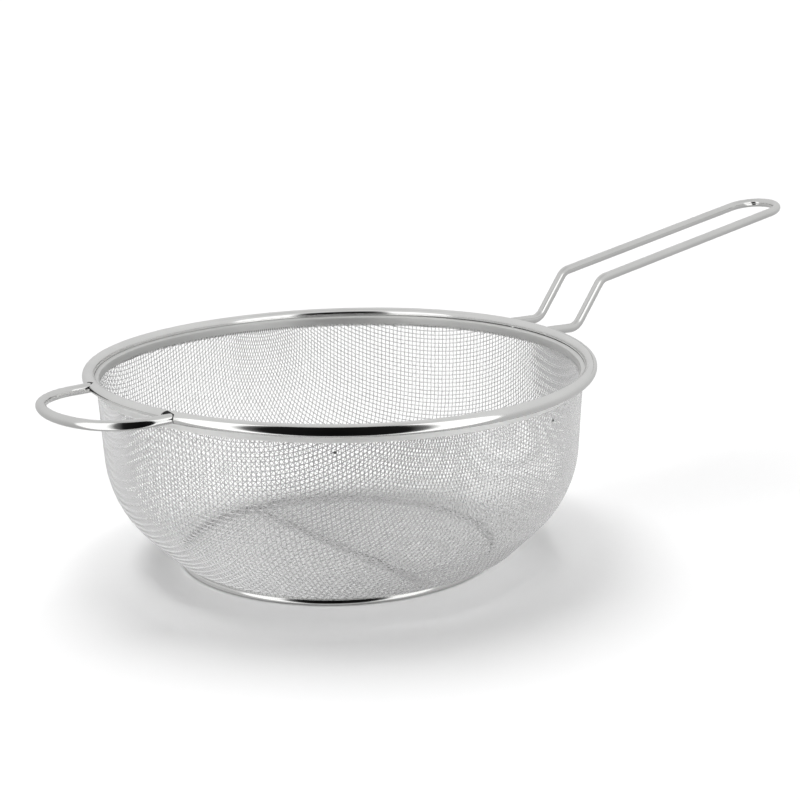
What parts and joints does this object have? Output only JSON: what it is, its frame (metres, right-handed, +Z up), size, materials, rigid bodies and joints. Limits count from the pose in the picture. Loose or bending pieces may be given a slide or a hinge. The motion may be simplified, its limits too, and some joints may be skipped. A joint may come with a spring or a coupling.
{
  "type": "wire mesh strainer",
  "caption": "Round woven-wire strainer bowl with a rolled steel rim, a long bent-wire handle, a wire rest loop opposite it and a wire foot ring under it.",
  "frame": {"origin": "on the bowl's axis, on the plane that the foot ring rests on", "axes": "+Z up along the bowl's axis, +X towards the handle, so the rest loop is on -X"},
  "size_m": [0.4144, 0.22, 0.1277],
  "materials": {
    "polished_sheet": "polished stainless sheet",
    "band_sheet": "plain rolled stainless strip",
    "mesh_wire": "bright drawn stainless wire, plain weave",
    "bright_wire": "bright polished stainless wire",
    "foot_wire": "bright drawn stainless wire"
  },
  "bodies": {
    "root": {"rim_roll": "polished_sheet", "inner_band": "band_sheet", "mesh_bowl": "mesh_wire", "handle_wire": "bright_wire", "rest_loop": "bright_wire", "foot_ring": "foot_wire", "foot_bar": "foot_wire"}
  },
  "joints": []
}
